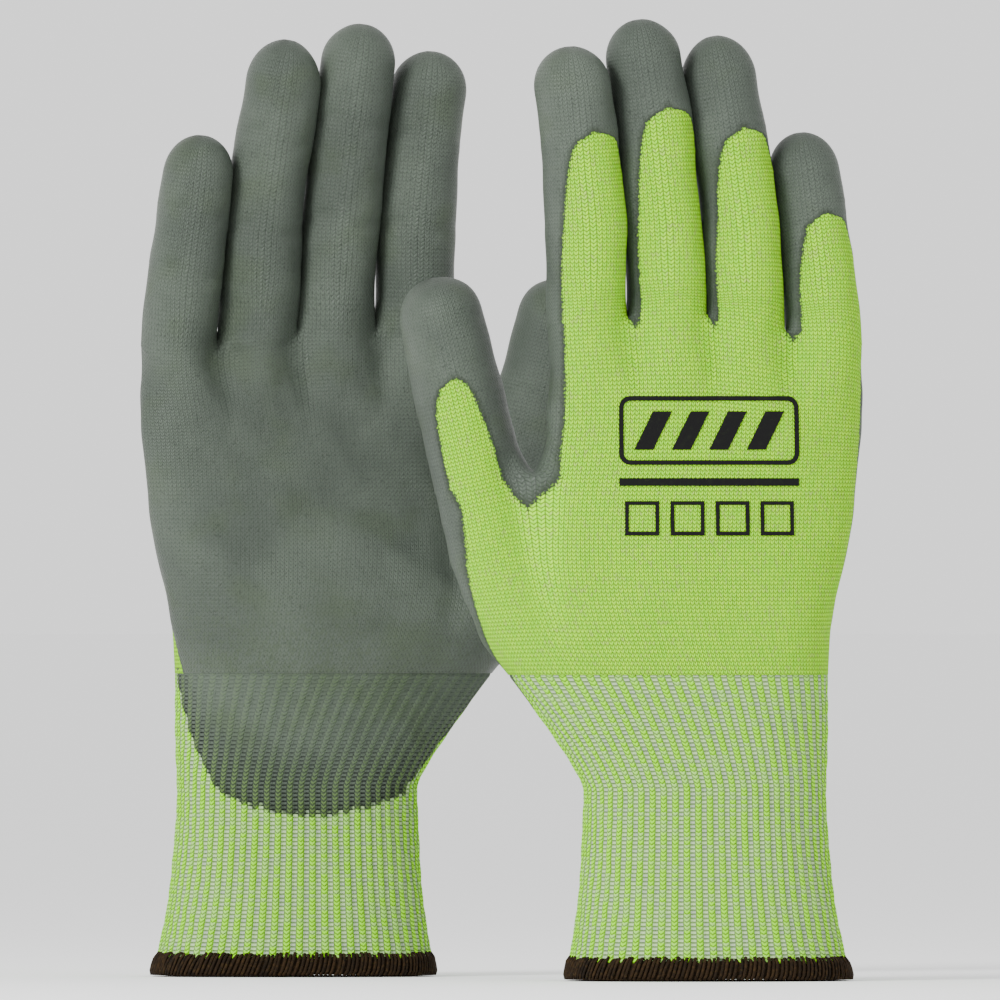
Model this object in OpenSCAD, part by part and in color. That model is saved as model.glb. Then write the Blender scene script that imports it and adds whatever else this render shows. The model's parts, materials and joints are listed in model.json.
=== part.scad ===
// Cut resistant gloves with coated palms: two right-hand gloves that stand on their hems,
// the rear one with its palm to the front, and the front one with its back to the front.
// Each glove is drawn in its own frame: +X is the thumb side, -Y the palm side, +Z the fingertips,
// with z = 0 at the bottom of the hem. Each finger is hollow, and folds at its knuckles.

/* [Glove] */
// Height of the ribbed cuff, from the bottom of the hem
cuff_h = 80; // [70:1:96]
// Height of the hand, from the cuff to the crotch of the little finger
palm_h = 86; // [72:1:104]
// Height of the narrowest part of the cuff
wrist_z = 50; // [40:1:60]
// Width of the cuff at the hem
hem_w = 74; // [62:1:90]
// Depth of the cuff at the hem
hem_d = 54; // [45:1:66]
// Width of the cuff at the wrist
wrist_w = 63; // [56:1:74]
// Depth of the cuff at the wrist
wrist_d = 43; // [36:1:52]
// Thickness of the hand through the ball of the thumb
heel_d = 46; // [38:1:56]
// How far the ball of the thumb stands out from the knuckles' edge, at the top of the cuff
heel_out = 9.5; // [6:0.5:14]

/* [Knit] */
// Thickness of the knitted hand and fingers
knit_t = 1.2; // [0.8:0.1:1.8]
// Thickness of the ribbed cuff
rib_t = 1.8; // [1.2:0.1:2.6]
// Thickness of the coating
coat_t = 0.35; // [0.2:0.05:0.6]
// Thickness of the printed mark
print_t = 0.15; // [0.1:0.05:0.3]
// Height of the overlocked hem
hem_h = 6; // [4:0.5:9]
// Thickness of the overlock thread on each side of the cuff
thread_t = 0.9; // [0.5:0.1:1.5]

/* [Fingers] */
// Spacing of the fingers across the knuckles
finger_pitch = 20.9; // [18:0.1:26]
// Clearance between neighbouring fingers
finger_gap = 0.4; // [0.3:0.1:1.5]
// Slope of the knuckles from the little finger back to the index finger
knuckle_slope = 0.17; // [0:0.01:0.3]
// How much higher the other fingers start than the little finger
root_step = 5; // [0:0.5:8]
// Lengths of the index finger's three segments
index_lengths = [22, 24, 22];
// Lengths of the middle finger's three segments
middle_lengths = [24, 27, 25];
// Lengths of the ring finger's three segments
ring_lengths = [22, 25, 24];
// Lengths of the little finger's three segments
little_lengths = [16, 17, 18];
// Loss of radius at each finger joint, towards the tip
finger_taper = 0.35; // [0.1:0.05:0.6]
// How much slimmer the little finger is, in radius
little_slim = 0.7; // [0.3:0.1:1.2]

/* [Thumb] */
// Lengths of the thumb's two segments
thumb_lengths = [19.5, 32];
// Radius of the thumb at its root
thumb_r = 11.7; // [9.5:0.1:13]
// Distance of the thumb's root from the edge of the knuckles
thumb_out = 17.7; // [15:0.1:24]
// Height of the thumb's root above the cuff
thumb_rise = 54; // [46:1:66]
// Sideways lean of the thumb
thumb_lean = 13; // [6:1:22]
// Turn of the thumb about its own length, towards the palm
thumb_turn = 8; // [0:1:14]

/* [Folds] */
// Fold of each finger at the hand
root_fold = 75; // [45:1:85]
// Fold of each finger at its middle joint
mid_fold = 80; // [45:1:90]
// Fold of each fingertip
tip_fold = 44; // [25:1:55]
// Fold of the thumb at the hand
thumb_root_fold = 40; // [20:1:50]
// Fold of the thumb's tip
thumb_tip_fold = 55; // [30:1:70]
// Distance of the finger folds from the finger's centre, towards the palm
fold_offset = 3.8; // [2.5:0.1:5]
// Gap between two segments at a fold
fold_gap = 0.3; // [0.2:0.05:0.6]

/* [Pair] */
// Distance between the two gloves, side to side
pair_w = 99; // [92:1:150]
// Distance between the two gloves, front to back
pair_d = 120; // [110:1:170]

/* [Hidden] */
sides = ["rear", "front"];
fingers = ["index", "middle", "ring", "little"];
NODES = [for (s = sides) each concat(
    [for (p = ["hand_knit", "palm_coating", "cuff_rib", "hem_overlock", "back_print"]) str(s, "_", p)],
    [for (f = fingers, p = ["base_knit", "base_coating", "mid_knit", "mid_coating", "tip"])
        str(s, "_", f, "_", p)],
    [for (p = ["base_knit", "base_coating", "tip"]) str(s, "_thumb_", p)])];
node = "all";

$fn = 36;
lime = "yellowgreen";
grey = "dimgray";
// Points around one cross-section of the hand or the cuff
ring_n = 36;
// Squareness of the cross-sections: 2 is an ellipse
squareness = 2.5;
// Middle of the hand, from the middle of the hem
hand_mid = 1;
roof_z = cuff_h + palm_h;
finger_r = (finger_pitch - finger_gap) / 2 - coat_t;
knuckle_w = 4 * finger_pitch;
knuckle_d = 2 * finger_r + 3;
thumb_edge = hand_mid + knuckle_w / 2;
// Extra length on a tube before its ends are cut to the folds
spare = 6;
// Slack on each side of a fold, in degrees, so that the segments stop just clear
fold_slack = 0.75;
// Height of the coating's lowest edge, and how far around the sides it comes
coat_low = 45;
coat_side = 2;
coat_round = 15;

function mix(a, b, t) = a + (b - a) * t;
function ease(t, power) = 1 - pow(1 - min(max(t, 0), 1), power);
function part_way(z, z0, z1) = min(max((z - z0) / (z1 - z0), 0), 1);

// A row is the shape of one cross-section:
// [little-finger side, thumb side, palm side, back side, slope across]
hem_row = [-hem_w / 2, hem_w / 2, -hem_d / 2, hem_d / 2, 0];
wrist_row = [hand_mid - wrist_w / 2, hand_mid + wrist_w / 2, -wrist_d / 2, wrist_d / 2, 0];
heel_row = [hand_mid - wrist_w / 2 - 1, thumb_edge + heel_out, -heel_d * 0.56, heel_d * 0.44, 0.02];
roof_row = [hand_mid - knuckle_w / 2, thumb_edge, -knuckle_d / 2, knuckle_d / 2, knuckle_slope];

function row_at(z) =
    z < wrist_z ? mix(hem_row, wrist_row, ease(z / wrist_z, 2)) :
    z < cuff_h ? mix(wrist_row, heel_row, pow(part_way(z, wrist_z, cuff_h), 1.2)) :
    mix(heel_row, roof_row, ease(part_way(z, cuff_h, roof_z), 2));

function bend_out(v) = sign(v) * pow(abs(v), 2 / squareness);
function ring_at(row, z, off) =
    let (xm = (row[0] + row[1]) / 2, ym = (row[2] + row[3]) / 2,
         xr = (row[1] - row[0]) / 2 + off, yr = (row[3] - row[2]) / 2 + off)
    [for (i = [0 : ring_n - 1])
        let (a = 360 * i / ring_n, dx = xr * bend_out(cos(a)))
        [xm + dx, ym + yr * bend_out(sin(a)) + row[4] * dx, z]];

// The digits: the fingers in order from the index finger, then the thumb
thumb = 4;
names = concat(fingers, ["thumb"]);
lengths = [index_lengths, middle_lengths, ring_lengths, little_lengths, thumb_lengths];
leans = [[1, 5, 6], [2, 6, 8], [2.5, 7, 9], [4, 7, 10], [thumb_lean, thumb_lean]];
pitches = [[0, 0, 0], [3, 3, 3], [4.5, 4.5, 4.5], [8, 8, 8], [0, 4]];
folds = [for (d = [0 : 4]) d == thumb ? [thumb_root_fold, thumb_tip_fold] : [root_fold, mid_fold, tip_fold]];
turns = [0, 0, 0, 0, -thumb_turn];
root_rs = [finger_r, finger_r, finger_r, finger_r - little_slim, thumb_r];
root_points = [for (d = [0 : 4])
    let (x = hand_mid + (1.5 - d) * finger_pitch)
    d == thumb ? [thumb_edge + thumb_out, -8, cuff_h + thumb_rise] :
    [x, knuckle_slope * (x - hand_mid), roof_z + root_step * (d == 3 ? 1 : 2)]];

function seg_way(d, k) =
    [sin(leans[d][k]) * cos(pitches[d][k]), -sin(pitches[d][k]), cos(leans[d][k]) * cos(pitches[d][k])];
function fold_point(d, k) = k == 0 ? root_points[d] : fold_point(d, k - 1) + lengths[d][k - 1] * seg_way(d, k - 1);
function seg_r(d, k) = root_rs[d] - finger_taper * k * (d == thumb ? 2 : 1);
function last(d) = len(lengths[d]) - 1;

module seg_frame(d, k) {
    translate(fold_point(d, k)) rotate([pitches[d][k], leans[d][k], 0]) rotate([0, 0, turns[d]]) children();
}

// The frame halfway between a segment and the one before it
module fold_frame(d, k) {
    before = max(k - 1, 0);
    translate(fold_point(d, k))
        rotate([(pitches[d][k] + pitches[d][before]) / 2, (leans[d][k] + leans[d][before]) / 2, 0])
            rotate([0, 0, turns[d]]) children();
}

// What lies past a fold, towards the tip, or before it: flat on the back of the finger,
// and open towards the palm by half of the fold
module past_fold(d, k, tipward = true) {
    half = folds[d][k] / 2 + fold_slack;
    reach = seg_r(d, k) + coat_t + 4;
    side = reach + 30;
    width = d == thumb ? 4 * thumb_r : 2 * (seg_r(d, 0) + coat_t) + finger_gap;
    fold_frame(d, k) mirror([0, 0, tipward ? 0 : 1]) rotate([90, 0, 90])
        linear_extrude(width, center = true) polygon([
            [side, -fold_gap / 2],
            [-fold_offset, -fold_gap / 2],
            [-fold_offset - reach, -fold_gap / 2 - reach * tan(half)],
            [-fold_offset - reach, side],
            [side, side]]);
}

module cut_ends(d, k) {
    difference() {
        children();
        past_fold(d, k, false);
        if (k < last(d)) past_fold(d, k + 1, true);
    }
}

module seg_solid(d, k, off) {
    seg_frame(d, k) translate([0, 0, -spare])
        cylinder(lengths[d][k] + 2 * spare, seg_r(d, k) + off, seg_r(d, k + 1) + off);
}

module knit_segment(d, k) {
    color(lime) cut_ends(d, k) difference() {
        seg_solid(d, k, 0);
        seg_solid(d, k, -knit_t);
    }
}

module coat_segment(d, k) {
    far = 4 * seg_r(d, k);
    color(grey) cut_ends(d, k) difference() {
        seg_solid(d, k, coat_t);
        seg_solid(d, k, 0);
        seg_frame(d, k) translate([-far, coat_side, -far]) cube([2 * far, far, 4 * far]);
    }
}

// A closed end: a straight wall and a rounded dome, turned about the finger's length
function tip_line(r0, r1, len, steps) = concat(
    [[0, -spare], [r0, -spare]],
    [for (i = [0 : steps]) let (a = 90 * i / steps) [r1 * cos(a), len - r1 + r1 * sin(a)]]);

module tip_solid(d, off) {
    k = last(d);
    seg_frame(d, k) rotate_extrude()
        polygon(tip_line(seg_r(d, k) + off, seg_r(d, k + 1) + off, lengths[d][k] + off, 8));
}

module fingertip(d) {
    color(grey) cut_ends(d, last(d)) difference() {
        tip_solid(d, coat_t);
        tip_solid(d, -knit_t);
    }
}

// Two flat triangles, split the same way everywhere so that surfaces that meet are the same
function split_quad(a, b, c, d) = [[a, b, c], [a, c, d]];

// A solid between two or more cross-sections
module loft(rings) {
    n = ring_n;
    top = len(rings) - 1;
    polyhedron(
        [for (r = rings) each r],
        concat(
            [[for (i = [0 : n - 1]) i]],
            [for (j = [0 : top - 1], i = [0 : n - 1]) each split_quad(
                j * n + i, (j + 1) * n + i, (j + 1) * n + (i + 1) % n, j * n + (i + 1) % n)],
            [[for (i = [n - 1 : -1 : 0]) top * n + i]]));
}

// A closed outline of [offset, height] points carried around the cuff
module band(outline) {
    n = ring_n;
    m = len(outline);
    polyhedron(
        [for (p = outline) each ring_at(row_at(p[1]), p[1], p[0])],
        [for (j = [0 : m - 1], i = [0 : n - 1]) each split_quad(
            j * n + i, ((j + 1) % m) * n + i, ((j + 1) % m) * n + (i + 1) % n, j * n + (i + 1) % n)]);
}

// One slice of a digit's root, some way below its fold, for the hand to reach up to
module root_slice(d, off, drop, slim = 0) {
    seg_frame(d, 0) translate([0, 0, -drop]) cylinder(0.1, r = seg_r(d, 0) + off - slim);
}

// The ball of the thumb, in two lengths: from the top of the cuff, and up to the thumb's root
thumb_mid_z = cuff_h + thumb_rise * 0.46;
thumb_low_row = [hand_mid + 8, thumb_edge + heel_out - 0.8, -heel_d * 0.53, heel_d * 0.2, 0];
thumb_mid_row = [hand_mid + 24, thumb_edge + thumb_out + 3.6, -22, 9, 0];

module thumb_ball(off, bottom) {
    hull() loft([ring_at(thumb_low_row, bottom, off), ring_at(thumb_mid_row, thumb_mid_z, off)]);
    hull() {
        loft([ring_at(thumb_mid_row, thumb_mid_z, off), ring_at(thumb_mid_row, thumb_mid_z + 1, off)]);
        root_slice(thumb, off, -1.5);
    }
}

// A finger's root reaches down into the hand, and gets slimmer there so that it lies well inside
root_depth = 2 * root_step + 14;
root_slim = 4;

module finger_root(d, off) {
    hull() {
        root_slice(d, off, -1.5);
        root_slice(d, off, root_depth, root_slim);
    }
}

// The hand closes between two fingers just under the folds of their roots
module finger_web(d, off) {
    hull() {
        for (e = [d, d + 1]) {
            root_slice(e, off, root_step + 1.6 - off, 0.6);
            root_slice(e, off, root_depth, root_slim);
        }
    }
}

// The hand without its fingers, made larger or smaller by off
module hand_solid(off, bottom = cuff_h) {
    loft([for (t = [0, 0.1, 0.2, 0.32, 0.46, 0.62, 0.8, 1])
        let (z = mix(bottom, roof_z + off, t)) ring_at(row_at(z), z, off)]);
    thumb_ball(off, bottom);
    for (d = [0 : 3]) finger_root(d, off);
    for (d = [0, 1]) finger_web(d, off);
}

// Heights of the cuff's cross-sections, which the hem and the coating follow
cuff_steps = 9;
cuff_zs = concat([thread_t, hem_h], [for (i = [1 : cuff_steps]) mix(hem_h, cuff_h, i / cuff_steps)]);

module cuff_solid(off) {
    loft([for (z = cuff_zs) ring_at(row_at(z), z, off)]);
}

module hand_knit() {
    color(lime) union() {
        difference() {
            hand_solid(0);
            hand_solid(-knit_t, cuff_h - 1);
            for (d = [0 : 4]) past_fold(d, 0, true);
        }
    }
}

// The face of the coating as seen from the palm: all of the hand, and a rounded tongue on the cuff
module coat_face() {
    hull() {
        for (x = [hand_mid - 10, hand_mid + 18]) translate([x, coat_low + coat_round]) circle(coat_round);
        translate([hand_mid - wrist_w / 2 - 5, cuff_h + 15]) square([wrist_w * 2, 1]);
    }
    translate([-knuckle_w, cuff_h + 15]) square([3 * knuckle_w, palm_h + 60]);
}

module palm_coating() {
    color(grey) union() {
        intersection() {
            difference() {
                union() {
                    hand_solid(coat_t);
                    cuff_solid(coat_t);
                }
                hand_solid(0, cuff_h - 0.001);
                cuff_solid(0);
                for (d = [0 : 4]) past_fold(d, 0, true);
            }
            rotate([90, 0, 0]) translate([0, 0, -coat_side]) linear_extrude(100) coat_face();
        }
    }
}

module cuff_rib() {
    top = len(cuff_zs) - 1;
    color("darkkhaki") band(concat(
        [for (z = cuff_zs) [0, z]],
        [for (i = [top : -1 : 0]) [-rib_t, cuff_zs[i]]]));
}

// The overlock thread wraps the cuff's raw edge on both sides
module hem_overlock() {
    t = thread_t;
    color("saddlebrown") band([
        [0, thread_t], [0, hem_h], [t * 0.8, hem_h - t], [t, hem_h / 2], [t * 0.8, t * 0.7], [0, 0],
        [-rib_t, 0], [-rib_t - t * 0.8, t * 0.7], [-rib_t - t, hem_h / 2], [-rib_t - t * 0.8, hem_h - t],
        [-rib_t, hem_h], [-rib_t, thread_t]]);
}

// A plain mark: a rounded frame with slanted bars, over a rule and a row of small hollow squares
module mark() {
    difference() {
        offset(3) square([42, 12], center = true);
        offset(1.8) square([42, 12], center = true);
    }
    for (x = [-15, -5, 5, 15]) translate([x, 0]) polygon([[-5, -5], [0, -5], [5, 5], [0, 5]]);
    translate([-24, -14.5]) square([48, 2]);
    for (x = [-18, -6, 6, 18]) translate([x, -23]) difference() {
        square(9, center = true);
        square(7, center = true);
    }
}

module back_print() {
    mark_z = roof_z - 22;
    color("darkslategray") union() {
        intersection() {
            difference() {
                hand_solid(print_t);
                hand_solid(0);
            }
            translate([hand_mid, 0, mark_z]) rotate([90, 0, 180]) linear_extrude(60) mark();
        }
    }
}

// Stands a glove in its place in the pair
module in_place(side) {
    turn = side == "rear" ? 0 : 180;
    rotate([0, 0, turn]) translate([-pair_w / 2, pair_d / 2, 0]) children();
}

function shown(name) = node == "all" || node == name;

for (side = sides) in_place(side) {
    if (shown(str(side, "_hand_knit"))) hand_knit();
    if (shown(str(side, "_palm_coating"))) palm_coating();
    if (shown(str(side, "_cuff_rib"))) cuff_rib();
    if (shown(str(side, "_hem_overlock"))) hem_overlock();
    if (shown(str(side, "_back_print"))) back_print();
    for (d = [0 : 4]) {
        if (shown(str(side, "_", names[d], "_base_knit"))) knit_segment(d, 0);
        if (shown(str(side, "_", names[d], "_base_coating"))) coat_segment(d, 0);
        if (d != thumb && shown(str(side, "_", names[d], "_mid_knit"))) knit_segment(d, 1);
        if (d != thumb && shown(str(side, "_", names[d], "_mid_coating"))) coat_segment(d, 1);
        if (shown(str(side, "_", names[d], "_tip"))) fingertip(d);
    }
}
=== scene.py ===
import bpy
import json
import math
import numpy as np
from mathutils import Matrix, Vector, noise
from mathutils.bvhtree import BVHTree


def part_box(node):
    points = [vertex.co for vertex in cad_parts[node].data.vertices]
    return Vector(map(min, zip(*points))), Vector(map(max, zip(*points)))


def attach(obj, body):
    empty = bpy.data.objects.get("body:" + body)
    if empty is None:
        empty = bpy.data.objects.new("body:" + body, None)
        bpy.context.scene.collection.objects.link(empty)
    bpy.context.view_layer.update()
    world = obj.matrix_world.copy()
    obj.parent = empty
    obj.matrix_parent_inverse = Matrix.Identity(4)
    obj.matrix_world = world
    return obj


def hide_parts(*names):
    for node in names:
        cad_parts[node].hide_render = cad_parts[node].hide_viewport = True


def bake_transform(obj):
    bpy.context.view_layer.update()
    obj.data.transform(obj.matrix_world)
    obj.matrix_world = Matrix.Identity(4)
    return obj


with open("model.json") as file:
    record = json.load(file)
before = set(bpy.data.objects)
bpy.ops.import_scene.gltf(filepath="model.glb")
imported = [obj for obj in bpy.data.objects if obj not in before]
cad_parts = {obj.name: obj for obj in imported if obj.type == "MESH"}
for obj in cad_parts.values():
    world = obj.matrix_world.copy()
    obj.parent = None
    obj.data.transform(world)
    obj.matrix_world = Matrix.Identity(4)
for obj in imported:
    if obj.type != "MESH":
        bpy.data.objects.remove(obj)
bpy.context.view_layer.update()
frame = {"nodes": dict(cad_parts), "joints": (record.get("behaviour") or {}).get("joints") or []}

# Everything below is worked out in millimetres in the rear glove's own frame:
# +X is the thumb side, -Y the palm, +Z the fingertips, and z = 0 the bottom of the hem
hemLow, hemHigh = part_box("rear_hem_overlock")
origin = np.array([(hemLow[0] + hemHigh[0]) / 2, (hemLow[1] + hemHigh[1]) / 2, 0.0]) * 1000


def smooth(t):
    t = np.clip(t, 0, 1)
    return t * t * (3 - 2 * t)


def unit(v):
    v = np.asarray(v, float)
    return v / np.linalg.norm(v, axis=-1, keepdims=True)


def toRow(points, side):
    # own frame in millimetres to the row frame in metres
    p = (np.asarray(points, float) + origin) / 1000
    return p if side == "rear" else p * np.array([-1, -1, 1])


def newMaterial(name, roughness, shine=0.12):
    material = bpy.data.materials.new(name)
    material.use_nodes = True
    shader = material.node_tree.nodes["Principled BSDF"]
    shader.inputs["Roughness"].default_value = roughness
    shader.inputs["Specular IOR Level"].default_value = shine
    return material, shader


class Wires:
    # short words for wiring a shader

    def __init__(self, tree):
        self.tree = tree

    def put(self, socket, value):
        if isinstance(value, bpy.types.NodeSocket):
            self.tree.links.new(value, socket)
        else:
            socket.default_value = value

    def math(self, operation, a, b=None, c=None):
        node = self.tree.nodes.new("ShaderNodeMath")
        node.operation = operation
        for socket, value in zip(node.inputs, (a, b, c)):
            if value is not None:
                self.put(socket, value)
        return node.outputs[0]

    def step(self, value, low, high, start=0.0, end=1.0):
        node = self.tree.nodes.new("ShaderNodeMapRange")
        node.interpolation_type = "SMOOTHSTEP"
        self.put(node.inputs["Value"], value)
        for name, number in (("From Min", low), ("From Max", high), ("To Min", start), ("To Max", end)):
            node.inputs[name].default_value = number
        return node.outputs["Result"]

    def mix(self, factor, a, b):
        node = self.tree.nodes.new("ShaderNodeMix")
        node.data_type = "RGBA"
        self.put(node.inputs["Factor"], factor)
        self.put(node.inputs[6], a)
        self.put(node.inputs[7], b)
        return node.outputs[2]

    def noise(self, scale, detail=2.0, offset=(0, 0, 0)):
        node = self.tree.nodes.new("ShaderNodeTexNoise")
        node.inputs["Scale"].default_value = scale
        node.inputs["Detail"].default_value = detail
        place = self.tree.nodes.new("ShaderNodeTexCoord").outputs["Object"]
        shift = self.tree.nodes.new("ShaderNodeVectorMath")
        self.put(shift.inputs[0], place)
        shift.inputs[1].default_value = offset
        self.tree.links.new(shift.outputs[0], node.inputs["Vector"])
        return node.outputs["Fac"]

    def cell(self, x, y, salt=0.0):
        # one random number for each whole pair of x and y
        join = self.tree.nodes.new("ShaderNodeCombineXYZ")
        self.put(join.inputs[0], self.math("FLOOR", x))
        self.put(join.inputs[1], self.math("FLOOR", y))
        join.inputs[2].default_value = salt
        node = self.tree.nodes.new("ShaderNodeTexWhiteNoise")
        self.tree.links.new(join.outputs[0], node.inputs["Vector"])
        return node.outputs["Value"]

    def uv(self):
        split = self.tree.nodes.new("ShaderNodeSeparateXYZ")
        source = self.tree.nodes.new("ShaderNodeUVMap")
        source.uv_map = "stitches"
        self.tree.links.new(source.outputs[0], split.inputs[0])
        return split.outputs[0], split.outputs[1]

    def tall(self):
        # height above the floor in metres
        split = self.tree.nodes.new("ShaderNodeSeparateXYZ")
        source = self.tree.nodes.new("ShaderNodeTexCoord")
        self.tree.links.new(source.outputs["Object"], split.inputs[0])
        return split.outputs[2]

    def attribute(self, name):
        node = self.tree.nodes.new("ShaderNodeAttribute")
        node.attribute_name = name
        return node.outputs["Fac"]

    def bump(self, height, distance, strength=1.0):
        node = self.tree.nodes.new("ShaderNodeBump")
        self.put(node.inputs["Height"], height)
        node.inputs["Distance"].default_value = distance
        node.inputs["Strength"].default_value = strength
        return node.outputs["Normal"]


def colour(red, green, blue):
    # an sRGB colour from 0 to 255, as the shader wants it
    return tuple(((c / 255 + 0.055) / 1.055) ** 2.4 if c > 10 else c / 255 / 12.92
                 for c in (red, green, blue)) + (1.0,)


# its near-black grey is painted shade, for the knit's hollows under the coating, the foam's pores and the
# ladders' open holes
coatLook = {
    "grey": colour(66, 74, 66), "pale": colour(79, 88, 78), "green": colour(61, 74, 49),
    "edge": colour(20, 32, 8), "speck": colour(18, 22, 18),
    "fade": 0.45, "ragged": 0.35, "rough": 0.42, "shine": 0.2,
}


def coatOver(w, mask, stitchHeight, knitColour, edgeMask, pitShadeDepth=1.0):
    # the coating's colour where mask is 1, with painted shade in the knit's hollows under it and in its
    # pores, and its dark soaked edge, over the knit's colour
    cloud = w.noise(42, 3)
    grain = w.noise(900, 2)
    tone = w.mix(w.step(cloud, 0.35, 0.68), coatLook["grey"], coatLook["pale"])
    tone = w.mix(w.math("MULTIPLY", w.step(w.noise(70, 2, offset=(3, 1, 7)), 0.5, 0.72), 0.35),
                 tone, coatLook["green"])
    # painted shade where the knit's stitches dip under the coating
    pitShade = w.math("MULTIPLY", w.step(stitchHeight, 0.05, 0.42, 0.55, 0.0), pitShadeDepth)
    tone = w.mix(pitShade, tone, coatLook["speck"])
    tone = w.mix(w.math("MULTIPLY", grain, 0.22), tone, coatLook["pale"])
    # foam leaves fine open pores, and the shade in them is painted
    tone = w.mix(w.step(w.noise(1900, 2, offset=(6, 2, 9)), 0.56, 0.70, 0.0, 0.42), tone, coatLook["speck"])
    soaked = w.mix(edgeMask, tone, coatLook["edge"])
    return w.mix(mask, knitColour, soaked)


# the darkest green here is painted shade for the hollows between the stitches
knitLook = {
    "lime": (0.28, 0.76, 0.0, 1), "bright": (0.38, 0.84, 0.0, 1), "fleck": (0.36, 0.59, 0.08, 1),
    "gap": (0.06, 0.17, 0.0, 1), "bumpDepth": 0.0005,
}


def knitMaterial():
    material, shader = newMaterial("knit_and_coating", 0.85, coatLook["shine"])
    w = Wires(material.node_tree)
    u, v = w.uv()
    fine = w.noise(520, 1)
    u = w.math("ADD", u, w.math("MULTIPLY", w.math("SUBTRACT", fine, 0.5), 0.16))
    across = w.math("FRACT", u)
    fold = w.math("ABSOLUTE", w.math("MULTIPLY_ADD", across, 2.0, -1.0))
    # each wale is a column of Vs: the legs slope up and away from its middle
    rise = w.math("SUBTRACT", v, w.math("MULTIPLY", fold, 0.62))
    phase = w.math("FRACT", rise)
    leg = w.math("SUBTRACT", 1.0, w.math("POWER", w.math("ABSOLUTE",
                 w.math("MULTIPLY_ADD", phase, 2.0, -1.0)), 2.2))
    wale = w.step(fold, 0.72, 1.0, 1.0, 0.12)
    centre = w.step(fold, 0.0, 0.2, 0.55, 1.0)
    height = w.math("MULTIPLY", w.math("MULTIPLY", leg, wale), centre)
    # the yarn is plied from a lime and a pale thread, so its shade goes by stitch
    stitch = w.cell(w.math("MULTIPLY", u, 2.0), rise)
    patch = w.noise(60, 3, offset=(5, 2, 1))
    streak = w.noise(240, 2, offset=(1, 8, 3))
    yarn = w.mix(w.step(stitch, 0.15, 0.95), knitLook["lime"], knitLook["bright"])
    paleness = w.math("MULTIPLY", w.step(w.cell(w.math("MULTIPLY", u, 2.0), rise, 4.0), 0.62, 0.95),
                      w.step(streak, 0.40, 0.62, 0.15, 0.85))
    yarn = w.mix(paleness, yarn, knitLook["fleck"])
    yarn = w.mix(w.step(patch, 0.3, 0.75, 0.0, 0.18), yarn, knitLook["bright"])
    # the low parts of the stitches get painted shade
    knit = w.mix(w.step(height, 0.08, 0.6, 0.85, 0.0), yarn, knitLook["gap"])
    coat = w.attribute("coat")
    ragged = w.math("MULTIPLY", w.math("SUBTRACT", w.cell(u, w.math("ADD", v, 0.5), 9.0), 0.5),
                    coatLook["ragged"])
    ragged = w.math("MULTIPLY_ADD", w.math("SUBTRACT", w.noise(1500, 2, offset=(7, 7, 3)), 0.5), 1.3, ragged)
    ragged = w.math("MULTIPLY_ADD", w.math("SUBTRACT", height, 0.5), -0.5, ragged)
    reach = w.math("ADD", coat, ragged)
    mask = w.step(reach, -coatLook["fade"], coatLook["fade"])
    edgeMask = w.step(reach, -0.2, 2.3, 0.8, 0.0)
    tone = coatOver(w, mask, height, knit, edgeMask)
    # near the cuff the coating is thin and the lime stitches show through it
    thin = w.step(w.tall(), 0.080, 0.116, 0.42, 0.0)
    shown = w.math("MULTIPLY", w.step(w.cell(w.math("MULTIPLY", u, 2.0), rise, 7.0), 0.45, 0.9), leg)
    tone = w.mix(w.math("MULTIPLY", w.math("MULTIPLY", shown, thin), mask), tone, coatLook["green"])
    w.put(shader.inputs["Base Color"], tone)
    w.put(shader.inputs["Roughness"], w.mix(mask, (0.96, 0.96, 0.96, 1), (coatLook["rough"],) * 3 + (1,)))
    fuzz = w.noise(2400, 2)
    relief = w.math("MULTIPLY", w.math("MULTIPLY_ADD", fuzz, 0.25, height), w.step(mask, 0.0, 1.0, 1.0, 0.34))
    relief = w.math("ADD", relief, w.math("MULTIPLY", w.noise(700, 3, offset=(2, 2, 2)), 0.36))
    relief = w.math("MULTIPLY_ADD", w.math("MULTIPLY", w.noise(160, 3, offset=(8, 1, 4)), mask), 1.5, relief)
    w.put(shader.inputs["Normal"], w.bump(relief, knitLook["bumpDepth"], 0.9))
    return material


# the darkest green here is painted shade for the hollows between the zigzags and under each dash
ribLook = {
    "lime": (0.28, 0.76, 0.0, 1), "pale": (0.36, 0.52, 0.24, 1), "dash": (0.29, 0.36, 0.28, 1),
    "gap": (0.06, 0.16, 0.0, 1), "through": colour(96, 128, 52), "bumpDepth": 0.00055,
}


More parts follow.
